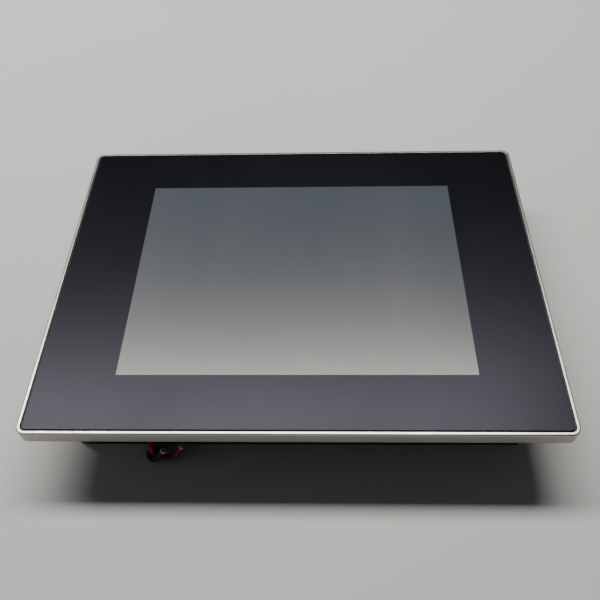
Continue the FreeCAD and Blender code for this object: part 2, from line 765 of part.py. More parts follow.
def boardParts():
    piece("processor", block("27", "27", "2.2", "-20", "-5", "boardRear - 2.2"))
    chips = [block("11", "13.5", "1.2", "14", f"{y}", "boardRear - 1.2") for y in (-14, 4)]
    piece("memory_chips", together(chips))

    base = block("44", "44", "3", "-20", "-5", "boardRear - 5.2")
    fins = [block("1.4", "44", "9.5", f"{-20 + step * 4.26:.2f}", "-5", "boardRear - 14.2")
            for step in range(-5, 6)]
    piece("heat_sink", join(base, *fins))

    cans = [rod("4", "9.5", x, "-66", "boardRear - 9.5") for x in ("-94", "-84", "-74")]
    cans.append(rod("5", "9.5", "-60", "-64", "boardRear - 9.5"))
    piece("capacitors", together(cans))
    coils = [block("10", "10", "4.5", x, "-48", "boardRear - 4.5") for x in ("-88", "-74", "-60")]
    piece("inductors", together(coils))

    holder = cut(rod("12", "5", "60", "30", boardFront), rod("10.2", "3.6", "60", "30",
                 f"{boardFront} + 1.4"))
    piece("cell_holder", holder)
    piece("coin_cell", rod("10", "3.2", "60", "30", f"{boardFront} + 1.4"))


def displayCable():
    """A flat cable that drops from the display through the chassis plate to the board."""
    body = newBody("DisplayCable")
    outline = sketchOn(body, "YZ_Plane", "-50")
    rectangle(outline, "0.5", f"moduleRear - {boardFront}", "56",
              f"(moduleRear + {boardFront})/2")
    drop = pad(body, outline, "cableWide")
    drop.Midplane = True
    socket = sketchOn(body, "YZ_Plane", "-50")
    rectangle(socket, "5", "2.2", "56", f"{boardFront} + 1.1")
    plug = pad(body, socket, "cableWide + 4")
    plug.Midplane = True
    doc.recompute()
    piece("display_cable", body)


# ---- connectors along the bottom side ----


def networkPort(label, across):
    """A modular jack: shielded block with a stepped mouth for the plug and its latch."""
    face = "housingTall/2 + 0.6"
    deep = "21.3"
    shell = block("16", deep, "13.4", across, f"-({face}) + {deep}/2", "boardRear - 13.4")
    mouth = block("11.9", "14", "7.4", across, f"-({face}) + 6", "boardRear - 11.6")
    latch = block("6.2", "14", "3", across, f"-({face}) + 6", "boardRear - 4.6")
    catch = block("3.4", "14", "1.6", across, f"-({face}) + 6", "boardRear - 1.9")
    piece(label, cut(shell, mouth, latch, catch))


def busPort(label, across):
    """A folded steel sleeve with a rectangular mouth."""
    face = "housingTall/2 + 0.8"
    sleeve = block("13.2", "14.2", "5.8", across, f"-({face}) + 7.1", "boardRear - 5.8")
    mouth = block("12.4", "13", "5", across, f"-({face}) + 6", "boardRear - 5.4")
    piece(label, cut(sleeve, mouth))


def busTongues():
    tongues = [block("11.1", "11.2", "1.8", across, "-housingTall/2 + 6.1", "boardRear - 3.2")
               for across in ("usbLeft", "usbRight")]
    piece("usb_tongues", together(tongues))


def serialPort():
    """A nine-way connector: flanged shell, insulating block, pins and two jack screws."""
    body = newBody("SerialShell")
    inner = "housingTall/2 - housingWall"
    flange = sketchOn(body, "XZ_Plane", inner)
    rectangle(flange, "30.8", "12.4", "serialAcross", "serialHigh")
    for side in (-1, 1):
        circle(flange, "1.6", f"serialAcross + {side}*12.5", "serialHigh")
    pad(body, flange, "0.8", back=True)
    nose = sketchOn(body, "XZ_Plane", inner)
    rectangle(nose, "16.9", "8.3", "serialAcross", "serialHigh")
    pad(body, nose, "6")
    ease(body, "Fillet", "2.4", isShellCorner)
    mouth = sketchOn(body, "XZ_Plane", f"{inner} + 7")
    rectangle(mouth, "15.9", "7.3", "serialAcross", "serialHigh")
    pocket(body, mouth, "9")
    piece("serial_shell", body)

    low = "serialHigh - 3.65"
    rear = f"-({inner}) + 0.8"
    core = block("15.9", "0.8", "7.3", "serialAcross", f"-({inner}) + 0.4", low)
    base = block("19", "9", "12.4", "serialAcross", f"{rear} + 4.5", "boardRear - 12.4")
    piece("serial_insert", join(core, base))

    pins = []
    for row, (count, high) in enumerate(((5, "serialHigh + 1.42"), (4, "serialHigh - 1.42"))):
        for step in range(count):
            shift = (step - (count - 1) / 2) * 2.77
            pins.append(rod("0.5", "4.6", f"serialAcross + {shift:.3f}", f"-({inner})", high, "-y"))
    piece("serial_pins", together(pins))

    jacks = []
    for side in (-1, 1):
        x = f"serialAcross + {side}*12.5"
        head = hexagon("2.7", "5", x, "-housingTall/2", "serialHigh", "-y")
        shank = rod("1.6", "housingWall + 3", x, "-housingTall/2", "serialHigh", "+y")
        bore = rod("1.25", "6", x, "-housingTall/2 - 5", "serialHigh", "+y")
        jacks.append(cut(join(head, shank), bore))
    piece("jack_screws", together(jacks))


def isShellCorner(edge):
    """True for the long corner edges of the serial port's nose."""
    box = edge.BoundBox
    if box.YLength < 5 or box.XLength > 0.1 or box.ZLength > 0.1:
        return False
    return abs(box.XMin - value("serialAcross")) > 8 and abs(box.XMin - value("serialAcross")) < 9


poles = ["plugAcross - polePitch", "plugAcross", "plugAcross + polePitch"]


def powerHeader():
    deep = "13"
    middle = f"-plugBack + {deep}/2 + 0.3"
    shroud = block("plugWide", deep, "boardRear - plugLow", "plugAcross", middle, "plugLow")
    hollow = block("3*polePitch + 0.4", "noseLong + 1", "9.8", "plugAcross",
                   "-plugBack + (noseLong + 1)/2", "poleHigh - 4.9")
    threads = [rod("1.3", "8", f"plugAcross + {side}*15.2", "-plugBack - 0.5", "poleHigh", "+y")
               for side in (-1, 1)]
    piece("power_header", cut(shroud, hollow, *threads))
    pins = [block("1", "7", "1", x, "-plugBack + noseLong + 1 - 3.5", "poleHigh - 0.5")
            for x in poles]
    piece("header_pins", together(pins))


def powerPlug():
    deep = "plugFace - plugBack"
    base = block("plugWide - 0.4", deep, "plugHigh - plugLow", "plugAcross",
                 "-(plugFace + plugBack)/2", "plugLow")
    nose = block("3*polePitch - 0.4", "noseLong + 0.5", "9.2", "plugAcross",
                 "-plugBack + noseLong/2 - 0.25", "poleHigh - 4.6")
    sockets = [block("1.5", "9", "1.5", x, "-plugBack + noseLong - 4", "poleHigh - 0.75")
               for x in poles]
    entries = [block("4.6", "8", "4.6", x, "-plugFace + 3.5", "poleHigh - 2.3") for x in poles]
    drives = [rod("1.9", "poleHigh - plugLow", x, "-plugFace + 4.5", "plugLow - 1") for x in poles]
    locks = [rod("1.3", "12", f"plugAcross + {side}*15.2", "-plugFace - 1", "poleHigh", "+y")
             for side in (-1, 1)]
    counter = [rod("2.4", "3.5", f"plugAcross + {side}*15.2", "-plugFace - 1", "poleHigh", "+y")
               for side in (-1, 1)]
    tools = sockets + entries + drives + locks + counter
    piece("power_plug", cut(join(base, nose), *tools))

    cages = [block("4.6", "6.2", "4.6", x, "-cageFace + 3.1", "poleHigh - 2.3") for x in poles]
    piece("wire_cages", together(cages))
    screws = []
    for x in poles:
        head = rod("1.85", "2.2", x, "-plugFace + 4.5", "plugLow + 0.8")
        shank = rod("1.25", "poleHigh - 2.3 - plugLow - 3", x, "-plugFace + 4.5", "plugLow + 3")
        slot = block("3.8", "0.6", "0.8", x, "-plugFace + 4.5", "plugLow + 0.8")
        screws.append(cut(join(head, shank), slot))
    piece("plug_screws", together(screws))
    bolts = []
    for side in (-1, 1):
        x = f"plugAcross + {side}*15.2"
        head = rod("2.3", "2", x, "-plugFace + 0.4", "poleHigh", "+y")
        shank = rod("1.25", "12.5", x, "-plugFace + 2.4", "poleHigh", "+y")
        slot = block("4.8", "0.8", "0.7", x, "-plugFace + 0.8", "poleHigh - 0.35")
        bolts.append(cut(join(head, shank), slot))
    piece("plug_lock_screws", together(bolts))


def earthStud():
    start = "-housingTall/2 + housingWall"
    thread = rod("studRoot", "studLong - studEnd", "studAcross", start, "studHigh", "-y")
    free = rod("clampRadius", "studEnd", "studAcross", f"{start} - (studLong - studEnd)",
               "studHigh", "-y")
    inner = hexagon("4", "3", "studAcross", start, "studHigh", "+y")
    piece("earth_stud", join(thread, free, inner))
    seat = "-housingTall/2 - washerThick"
    nut = cut(hexagon("4.04", "nutThick", "studAcross", seat, "studHigh", "-y"),
              rod("studRoot", "nutThick", "studAcross", seat, "studHigh", "-y"))
    washer = cut(rod("4.5", "washerThick", "studAcross", "-housingTall/2", "studHigh", "-y"),
                 rod("2.15", "washerThick", "studAcross", "-housingTall/2", "studHigh", "-y"))
    piece("earth_nut", together([nut, washer]))


# ---- service door, card and reset ----


def serviceDoor():
    face = "-housingTall/2 + 0.1"
    middle = f"{face} + doorThick/2"
    leaf = block("doorWide", "doorThick", "doorTall", "doorAcross", middle, "doorLow")
    barrel = rod("doorThick/2", "doorWide", "doorAcross - doorWide/2", middle, "doorLow", "+x")
    bore = rod("0.5 + runningGap", "doorWide + 2", "doorAcross - doorWide/2 - 1", middle,
               "doorLow", "+x")
    pull = block("8", "1", "1.2", "doorAcross", face, "doorLow + doorTall - 1.2")
    piece("service_door", cut(join(leaf, barrel), bore, pull))
    pin = rod("0.5", "doorWide + 4", "doorAcross - doorWide/2 - 2", middle, "doorLow", "+x")
    piece("door_pin", pin)


def cardAndReset():
    x = "doorAcross - 3.5"
    edge = "-boardEdge"
    shell = block("26.4", "25", "3.2", x, f"{edge} + 12.9", "boardRear - 3.2")
    slot = block("24.6", "24", "2.5", x, f"{edge} + 11.9", "boardRear - 2.9")
    piece("card_socket", cut(shell, slot))
    card = block("24", "24.5", "2.1", x, f"{edge} + 10.85", "boardRear - 2.7")
    piece("memory_card", card)

    knob = "doorAcross + 13"
    switch = block("6", "5", "7", knob, f"{edge} + 3", "boardRear - 7")
    well = rod("1.7", "3.5", knob, f"{edge} - 0.5", "boardRear - 3.5", "+y")
    piece("reset_switch", cut(switch, well))
    button = join(rod("1.4", "4", knob, f"{edge} - 1.6", "boardRear - 3.5", "+y"),
                  rod("1.6", "0.7", knob, f"{edge} - 1.6", "boardRear - 3.5", "+y"))
    piece("reset_button", button)


# ---- wires ----

# Each wire is a cut stub that leaves the plug, sags to the surface the panel lies on and
# turns up again at its cut end.
redRoute = [(-88.32, -101.2, 14.0), (-88.32, -105.8, 14.0), (-88.3, -108.4, 10.4),
            (-86.9, -108.2, 5.8), (-83.6, -107.8, 2.6), (-79.2, -108.8, 1.8),
            (-74.4, -109.7, 4.4), (-69.8, -106.2, 12.0)]
blackRoute = [(-80.7, -101.2, 14.0), (-80.7, -105.9, 14.0), (-81.4, -107.5, 9.7),
              (-82.8, -104.7, 5.1), (-85.8, -102.5, 2.3), (-89.6, -103.0, 1.8),
              (-91.8, -106.8, 1.8), (-89.6, -110.8, 2.8), (-85.2, -112.1, 5.6),
              (-79.5, -110.6, 15.2)]


def roundedPath(points):
    """Straight runs joined by tangent arcs, and the radius of each arc.

    An arc's radius is 0.45 of the shorter of its two runs over the tangent of half the turn.
    """
    corners = [Vector(*point) for point in points]
    edges = []
    radii = []
    start = corners[0]
    for before, corner, after in zip(corners, corners[1:], corners[2:]):
        comes = (corner - before).normalize()
        goes = (after - corner).normalize()
        reach = 0.45 * min((corner - before).Length, (after - corner).Length)
        half = comes.getAngle(goes) / 2
        radius = reach / math.tan(half)
        bisector = (goes - comes).normalize()
        middle = corner + bisector * (radius / math.cos(half) - radius)
        enters = corner - comes * reach
        leaves = corner + goes * reach
        edges.append(Part.LineSegment(start, enters).toShape())
        edges.append(Part.Arc(enters, middle, leaves).toShape())
        radii.append(round(radius, 2))
        start = leaves
    edges.append(Part.LineSegment(start, corners[-1]).toShape())
    return Part.Wire(edges), radii


def wire(label, route):
    """A wire of round section swept along its route."""
    radius = value("wireRadius")
    path, radii = roundedPath(route)
    first = Vector(*route[0])
    section = Part.Wire(Part.makeCircle(radius, first, Vector(*route[1]) - first))
    item = doc.addObject("Part::Feature", "Wire")
    item.Shape = path.makePipeShell([section], True, False)
    item.Placement = FreeCAD.Placement()
    expected = math.pi * radius ** 2 * path.Length
    print(f"{label}: length {path.Length:.2f}, arc radii {radii}, "
          f"volume {item.Shape.Volume:.1f} for {expected:.1f}")
    piece(label, item)


# ---- assembly ----


def build():
    frontFrame()
    panelGasket()
    frontOverlay()
    overlayAdhesive()
    touchSensor()
    displayModule()
    standoffs()
    rearHousing()
    backCover()
    coverScrews()
    clampScrews()
    clampLevers()
    mainBoard()
    boardParts()
    displayCable()
    networkPort("network_port_left", "networkLeft")
    networkPort("network_port_right", "networkRight")
    busPort("usb_port_left", "usbLeft")
    busPort("usb_port_right", "usbRight")
    busTongues()
    serialPort()
    powerHeader()
    powerPlug()
    earthStud()
    serviceDoor()
    cardAndReset()
    wire("wire_red", redRoute)
    wire("wire_black", blackRoute)
    doc.recompute()


def check():
    """Stop if any object failed or any sub-part has no valid solid."""
    for item in doc.Objects:
        bad = {"Invalid", "Error"} & set(item.State)
        if bad:
            raise RuntimeError(f"{item.Name} ({item.Label}) is {bad}")
    for item in pieces:
        if item.Shape.isNull() or not item.Shape.isValid() or not item.Shape.Solids:
            raise RuntimeError(f"{item.Label} has no valid solid")


def write():
    os.makedirs("parts", exist_ok=True)
    for item in pieces:
        item.Shape.exportStep(os.path.join("parts", item.Label + ".step"))
    print(f"{len(pieces)} sub-parts written")


build()
check()
write()
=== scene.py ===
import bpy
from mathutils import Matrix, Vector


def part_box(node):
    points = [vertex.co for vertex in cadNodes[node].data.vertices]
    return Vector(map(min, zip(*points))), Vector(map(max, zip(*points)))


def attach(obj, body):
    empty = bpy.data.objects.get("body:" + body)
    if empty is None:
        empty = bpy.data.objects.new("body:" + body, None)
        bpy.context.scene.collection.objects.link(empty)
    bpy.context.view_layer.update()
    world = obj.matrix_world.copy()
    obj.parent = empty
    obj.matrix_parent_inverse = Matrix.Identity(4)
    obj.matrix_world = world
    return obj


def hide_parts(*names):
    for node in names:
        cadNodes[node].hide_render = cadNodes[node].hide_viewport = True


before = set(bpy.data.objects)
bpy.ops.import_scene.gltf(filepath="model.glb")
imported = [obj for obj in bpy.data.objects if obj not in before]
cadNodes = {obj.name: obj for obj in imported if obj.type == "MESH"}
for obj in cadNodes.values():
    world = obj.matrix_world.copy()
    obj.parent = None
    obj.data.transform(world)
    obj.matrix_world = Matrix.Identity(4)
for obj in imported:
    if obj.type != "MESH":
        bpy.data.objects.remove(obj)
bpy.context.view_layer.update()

from math import radians

import bmesh
import bpy
import numpy as np
from mathutils import Vector

mm = 0.001
mainBody = "panel_unit"

# The camera stands low in front of the panel's bottom edge and looks down at its middle.
camera = {
    "place": (0.0151, -0.2843, 0.3850),
    "turn": (37.81, 1.58, 0.97),   # degrees about X, Y and Z
    "lens": 40.43,
}


def makeCamera():
    data = bpy.data.cameras.new("camera")
    data.lens = camera["lens"]
    item = bpy.data.objects.new("camera", data)
    item.location = camera["place"]
    item.rotation_euler = [radians(angle) for angle in camera["turn"]]
    bpy.context.scene.collection.objects.link(item)
    bpy.context.scene.camera = item


# A wide soft light overhead, a weak one at the side, and a dim even sky.
studio = {
    "overheadPlace": (-0.3, 0.55, 1.4),
    "overheadSize": (1.95, 0.32),
    "overheadPower": 34.0,
    "overheadColour": (1.0, 0.975, 0.94),
    "sidePlace": (-1.5, -0.3, 0.8),
    "sideSize": (0.9, 0.9),
    "sidePower": 1.0,
    "sideColour": (0.86, 0.92, 1.0),
    "skyColour": (0.72, 0.80, 0.92),
    "skyStrength": 0.045,
}


def softLight(name, place, size, power, colour):
    data = bpy.data.lights.new(name, "AREA")
    data.shape = "RECTANGLE"
    data.size, data.size_y = size
    data.energy = power
    data.color = colour
    item = bpy.data.objects.new(name, data)
    item.location = place
    item.rotation_euler = (-Vector(place)).to_track_quat("-Z", "Y").to_euler()
    bpy.context.scene.collection.objects.link(item)
    return item


def makeStudio():
    overhead = softLight("overhead_light", studio["overheadPlace"], studio["overheadSize"],
                         studio["overheadPower"], studio["overheadColour"])
    overhead.rotation_euler = (0, 0, 0)
    softLight("side_light", studio["sidePlace"], studio["sideSize"], studio["sidePower"],
              studio["sideColour"])
    world = bpy.data.worlds.new("sky")
    world.use_nodes = True
    background = world.node_tree.nodes["Background"]
    background.inputs["Color"].default_value = (*studio["skyColour"], 1)
    background.inputs["Strength"].default_value = studio["skyStrength"]
    bpy.context.scene.world = world


# What every finish is built from: a shader with its plain values, then patterns linked in.
def newFinish(name, colour, roughness, metallic=0.0):
    material = bpy.data.materials.new(name)
    material.use_nodes = True
    tree = material.node_tree
    shader = tree.nodes["Principled BSDF"]
    shader.inputs["Base Color"].default_value = (*colour, 1)
    shader.inputs["Roughness"].default_value = roughness
    shader.inputs["Metallic"].default_value = metallic
    return material, tree, shader


def placeOn(tree, stretch=(1, 1, 1)):
    coordinate = tree.nodes.new("ShaderNodeTexCoord")
    mapping = tree.nodes.new("ShaderNodeMapping")
    mapping.inputs["Scale"].default_value = stretch
    tree.links.new(coordinate.outputs["Object"], mapping.inputs["Vector"])
    return mapping.outputs["Vector"]


def cloudy(tree, place, scale, detail=3.0):
    node = tree.nodes.new("ShaderNodeTexNoise")
    node.inputs["Scale"].default_value = scale
    node.inputs["Detail"].default_value = detail
    tree.links.new(place, node.inputs["Vector"])
    return node.outputs["Fac"]


def ranged(tree, value, low, high, fromLow=0.3, fromHigh=0.7):
    node = tree.nodes.new("ShaderNodeMapRange")
    node.inputs["From Min"].default_value = fromLow
    node.inputs["From Max"].default_value = fromHigh
    node.inputs["To Min"].default_value = low
    node.inputs["To Max"].default_value = high
    tree.links.new(value, node.inputs["Value"])
    return node.outputs["Result"]


def specks(tree, place, scale, size):
    # one round speck in each cell, from one at its middle to nothing at its rim
    node = tree.nodes.new("ShaderNodeTexVoronoi")
    node.inputs["Scale"].default_value = scale
    tree.links.new(place, node.inputs["Vector"])
    return ranged(tree, node.outputs["Distance"], 1.0, 0.0, 0.4 * size, size)


def twoTones(tree, value, first, second, low=0.35, high=0.65):
    node = tree.nodes.new("ShaderNodeValToRGB")
    node.color_ramp.elements[0].position = low
    node.color_ramp.elements[0].color = (*first, 1)
    node.color_ramp.elements[1].position = high
    node.color_ramp.elements[1].color = (*second, 1)
    tree.links.new(value, node.inputs["Fac"])
    return node.outputs["Color"]


def layered(tree, amount, under, over):
    node = tree.nodes.new("ShaderNodeMix")
    node.data_type = "RGBA"
    tree.links.new(amount, node.inputs[0])
    tree.links.new(under, node.inputs[6])
    node.inputs[7].default_value = (*over, 1)
    return node.outputs[2]


def raised(tree, shader, height, strength, distance):
    node = tree.nodes.new("ShaderNodeBump")
    node.inputs["Strength"].default_value = strength
    node.inputs["Distance"].default_value = distance
    tree.links.new(height, node.inputs["Height"])
    tree.links.new(node.outputs["Normal"], shader.inputs["Normal"])


def rubbedEdges(tree, amount, start=0.57):
    geometry = tree.nodes.new("ShaderNodeNewGeometry")
    return ranged(tree, geometry.outputs["Pointiness"], 0.0, amount, start, start + 0.07)


def blastedFrameMetal():
    # warm silver anodising over blasted aluminium, with the sides kept darker as painted shade and
    # the top and lip painted lighter as a painted highlight
    material, tree, shader = newFinish("blasted_frame_metal", (0.42, 0.405, 0.37), 0.32, 1.0)
    place = placeOn(tree)
    tone = twoTones(tree, cloudy(tree, place, 26, 4), (0.33, 0.318, 0.286), (0.38, 0.366, 0.33))
    height = tree.nodes.new("ShaderNodeSeparateXYZ")
    tree.links.new(place, height.inputs["Vector"])
    # painted highlight: the top face and its rounded lip get a lighter silver, so the top reads
    # lit and the sides below stay in painted shade
    lip = ranged(tree, height.outputs["Z"], 0.0, 1.0, 0.0486, 0.0496)
    tone = layered(tree, lip, tone, (0.54, 0.525, 0.49))
    dirt = ranged(tree, cloudy(tree, placeOn(tree, (1, 1, 5)), 130, 3), 0.0, 0.3, 0.6, 0.8)
    tree.links.new(layered(tree, dirt, tone, (0.26, 0.25, 0.22)), shader.inputs["Base Color"])
    tree.links.new(ranged(tree, cloudy(tree, place, 70), 0.29, 0.36), shader.inputs["Roughness"])
    raised(tree, shader, cloudy(tree, place, 2600, 2), 0.14, 0.06 * mm)
    return material


def printedBorder():
    # matte black print under film, with a fine grain and a few grains of dust
    material, tree, shader = newFinish("printed_border", (0.0015, 0.002, 0.003), 0.32)
    shader.inputs["IOR"].default_value = 1.34
    shader.inputs["Specular Tint"].default_value = (0.8, 0.81, 1.0, 1)
    place = placeOn(tree)
    tone = twoTones(tree, cloudy(tree, place, 14), (0.001, 0.0017, 0.0026), (0.002, 0.003, 0.004))
    dust = specks(tree, place, 95, 0.03)
    tree.links.new(layered(tree, dust, tone, (0.07, 0.07, 0.07)), shader.inputs["Base Color"])
    tree.links.new(ranged(tree, cloudy(tree, place, 9, 4), 0.3, 0.34), shader.inputs["Roughness"])
    raised(tree, shader, cloudy(tree, place, 3200, 2), 0.1, 0.03 * mm)
    return material


def antiGlareFilm():
    # grey haze of an unlit display behind a matte film, wiped up and down
    material, tree, shader = newFinish("anti_glare_film", (0.06, 0.075, 0.096), 0.27)
    shader.inputs["IOR"].default_value = 1.75
    shader.inputs["Specular Tint"].default_value = (1.0, 0.935, 0.86, 1)
    wiped = cloudy(tree, placeOn(tree, (8, 1.1, 1)), 3.0)
    tone = twoTones(tree, wiped, (0.058, 0.073, 0.094), (0.062, 0.077, 0.098))
    dust = specks(tree, placeOn(tree), 75, 0.03)
    tree.links.new(layered(tree, dust, tone, (0.28, 0.28, 0.28)), shader.inputs["Base Color"])
    tree.links.new(ranged(tree, wiped, 0.262, 0.278), shader.inputs["Roughness"])
    raised(tree, shader, cloudy(tree, placeOn(tree), 4200, 1), 0.15, 0.03 * mm)
    return material


def housingMoulding():
    # spark-textured black moulding, greyer where its edges are handled
    material, tree, shader = newFinish("housing_moulding", (0.03, 0.031, 0.033), 0.55)
    place = placeOn(tree)
    tone = twoTones(tree, cloudy(tree, place, 34, 4), (0.024, 0.025, 0.027),
                    (0.036, 0.037, 0.039))
    tree.links.new(layered(tree, rubbedEdges(tree, 0.5), tone, (0.1, 0.1, 0.105)),
                   shader.inputs["Base Color"])
    tree.links.new(ranged(tree, cloudy(tree, place, 60), 0.48, 0.64), shader.inputs["Roughness"])
    raised(tree, shader, cloudy(tree, place, 1500), 0.35, 0.12 * mm)
    return material


def zincSheet():
    # zinc-plated sheet: mottled tone and rolling lines along X
    material, tree, shader = newFinish("zinc_sheet", (0.5, 0.51, 0.52), 0.38, 0.9)
    tone = twoTones(tree, cloudy(tree, placeOn(tree), 45, 5), (0.42, 0.43, 0.44),
                    (0.56, 0.57, 0.575))
    tree.links.new(tone, shader.inputs["Base Color"])
    rolled = cloudy(tree, placeOn(tree, (1, 40, 40)), 30)
    tree.links.new(ranged(tree, rolled, 0.32, 0.46), shader.inputs["Roughness"])
    raised(tree, shader, rolled, 0.08, 0.04 * mm)
    return material


def metalPart(name, colour, roughness, grain=900):
    # plated or cast metal: patchy tone and gloss over a fine grain, brighter on its edges
    material, tree, shader = newFinish(name, colour, roughness, 0.95)
    place = placeOn(tree)
    dull = tuple(part * 0.78 for part in colour)
    bright = tuple(min(1.0, part * 1.25) for part in colour)
    tone = twoTones(tree, cloudy(tree, place, 180, 4), dull, colour)
    tree.links.new(layered(tree, rubbedEdges(tree, 0.5), tone, bright),
                   shader.inputs["Base Color"])
    gloss = ranged(tree, cloudy(tree, place, 260), roughness - 0.06, roughness + 0.1)
    tree.links.new(gloss, shader.inputs["Roughness"])
    raised(tree, shader, cloudy(tree, place, grain), 0.2, 0.05 * mm)
    return material


def mouldedPart(name, colour, roughness, grain=1400, strength=0.2):
    # moulded plastic: fine texture, uneven gloss, paler along its edges
    material, tree, shader = newFinish(name, colour, roughness)
    place = placeOn(tree)
    dull = tuple(part * 0.85 for part in colour)
    pale = tuple(part + (1 - part) * 0.1 for part in colour)
    tone = twoTones(tree, cloudy(tree, place, 120), dull, colour)
    tree.links.new(layered(tree, rubbedEdges(tree, 0.5), tone, pale), shader.inputs["Base Color"])
    gloss = ranged(tree, cloudy(tree, place, 150), roughness - 0.06, roughness + 0.08)
    tree.links.new(gloss, shader.inputs["Roughness"])
    raised(tree, shader, cloudy(tree, place, grain, 2), strength, 0.06 * mm)
    return material


def solderMask():
    # green mask with short straight tracks under it
    material, tree, shader = newFinish("solder_mask", (0.01, 0.1, 0.045), 0.32)
    tracks = tree.nodes.new("ShaderNodeTexBrick")
    tracks.inputs["Scale"].default_value = 210
    tracks.inputs["Mortar Size"].default_value = 0.12
    tracks.inputs["Color1"].default_value = (0.008, 0.085, 0.038, 1)
    tracks.inputs["Color2"].default_value = (0.01, 0.105, 0.045, 1)
    tracks.inputs["Mortar"].default_value = (0.018, 0.17, 0.075, 1)
    tree.links.new(placeOn(tree), tracks.inputs["Vector"])
    tree.links.new(tracks.outputs["Color"], shader.inputs["Base Color"])
    raised(tree, shader, tracks.outputs["Fac"], 0.3, 0.05 * mm)
    return material


def ruledLabel():
    # silver label with an empty ruled table
    material, tree, shader = newFinish("ruled_label", (0.62, 0.63, 0.64), 0.35, 0.2)
    ruled = tree.nodes.new("ShaderNodeTexBrick")
    ruled.offset = 0.0
    ruled.inputs["Scale"].default_value = 55
    ruled.inputs["Mortar Size"].default_value = 0.02
    ruled.inputs["Brick Width"].default_value = 1.6
    ruled.inputs["Row Height"].default_value = 0.42
    ruled.inputs["Color1"].default_value = (0.62, 0.63, 0.64, 1)
    ruled.inputs["Color2"].default_value = (0.6, 0.61, 0.62, 1)
    ruled.inputs["Mortar"].default_value = (0.06, 0.06, 0.065, 1)
    tree.links.new(placeOn(tree), ruled.inputs["Vector"])
    tree.links.new(ruled.outputs["Color"], shader.inputs["Base Color"])
    raised(tree, shader, cloudy(tree, placeOn(tree), 500, 2), 0.08, 0.04 * mm)
    return material


def wireSleeve(name, colour):
    # soft vinyl with scuffs and a fine grain
    material, tree, shader = newFinish(name, colour, 0.42)
    place = placeOn(tree)
    dull = tuple(part * 0.8 for part in colour)
    scuffed = tuple(part + (1 - part) * 0.1 for part in colour)
    tone = twoTones(tree, cloudy(tree, place, 220), dull, colour)
    scuffs = ranged(tree, cloudy(tree, place, 520, 4), 0.0, 0.5, 0.56, 0.76)
    tree.links.new(layered(tree, scuffs, tone, scuffed), shader.inputs["Base Color"])
    gloss = ranged(tree, cloudy(tree, place, 300), 0.34, 0.55)
    tree.links.new(gloss, shader.inputs["Roughness"])
    raised(tree, shader, cloudy(tree, place, 900), 0.15, 0.06 * mm)
    return material


def floorPaint():
    material, tree, shader = newFinish("floor_paint", (0.7, 0.695, 0.675), 0.75)
    tone = twoTones(tree, cloudy(tree, placeOn(tree), 2.5, 4), (0.685, 0.68, 0.66),
                    (0.715, 0.71, 0.69))
    tree.links.new(tone, shader.inputs["Base Color"])
    return material


# What every shape is built from: arrays of points, joined up as quads.
def addPiece(name, mesh):
    item = bpy.data.objects.new(name, mesh)
    bpy.context.scene.collection.objects.link(item)
    return item


def smoothed(mesh, angle=32):
    mesh.shade_smooth()
    mesh.set_sharp_from_angle(angle=radians(angle))


# The volume that faces enclose: each fan triangle's triple product, added up, over six.
def enclosed(points, faces):
    total = 0.0
    for face in faces:
        fan = points[np.asarray(face)]
        total += np.sum(np.cross(fan[1:-1] - fan[0], fan[2:] - fan[0]) @ fan[0])
    return total / 6


# A skin over loops of points, where point j of loop i joins its neighbours in both
# directions. A closed skin returns to its first loop, and an open one is capped at each end.
def skin(name, loops, closed=True):
    loops = np.asarray(loops, float)
    count, size = loops.shape[:2]
    points = loops.reshape(-1, 3)
    row, column = np.meshgrid(np.arange(count if closed else count - 1), np.arange(size),
                              indexing="ij")
    nextRow = (row + 1) % count
    nextColumn = (column + 1) % size
    quads = np.stack([row * size + column, row * size + nextColumn,
                      nextRow * size + nextColumn, nextRow * size + column], -1)
    faces = quads.reshape(-1, 4).tolist()
    if not closed:
        faces.append(list(range(size))[::-1])
        faces.append(list(range((count - 1) * size, count * size)))
    if enclosed(points, faces) < 0:
        faces = [face[::-1] for face in faces]
    mesh = bpy.data.meshes.new(name)
    mesh.from_pydata(points.tolist(), [], faces)
    smoothed(mesh)
    return addPiece(name, mesh)


# A profile with its corners rounded: each corner becomes a curve that weighs the point before
# it, itself and the point after it by (1-t)^2, 2t(1-t) and t^2.
def eased(profile, steps=3, closed=True):
    result = []
    for index, (*corner, ease) in enumerate(profile):
        corner = np.array(corner)
        atEnd = not closed and index in (0, len(profile) - 1)
        if ease <= 0 or atEnd:
            result.append(corner)
            continue
        ends = []
        holds = []
        for other in (profile[index - 1], profile[(index + 1) % len(profile)]):
            away = np.array(other[:-1]) - corner
            away /= max(np.hypot(away[0], away[-1]), 2.5 * ease)
            ends.append(corner + away * ease)
            holds.append(corner + away * 1.2 * ease)   # keeps the flat beside the curve flat
        t = np.linspace(0, 1, steps + 1)[:, None]
        curve = (1 - t) ** 2 * ends[0] + 2 * t * (1 - t) * corner + t ** 2 * ends[1]
        result.extend([holds[0], *curve, holds[1]])
    return result


# A profile carried round rounded rectangles. Its points are half width, half height, corner
# radius and height. A ring's points are its corner centres plus the radius times the cosine
# and sine of an angle that runs through the four quarters.
def ringSurface(name, profile, closed=True, steps=10):
    halfX, halfY, radius, z = np.asarray(profile).T[:, :, None]
    radius = np.maximum(radius, 0.01 * mm)
    angle = (np.arange(4)[:, None] * np.pi / 2 + np.linspace(0, np.pi / 2, steps + 1)).ravel()
    sideX = np.repeat([1, -1, -1, 1], steps + 1)
    sideY = np.repeat([1, 1, -1, -1], steps + 1)
    x = sideX * (halfX - radius) + radius * np.cos(angle)
    y = sideY * (halfY - radius) + radius * np.sin(angle)
    return skin(name, np.stack([x, y, z + 0 * x], -1), closed)


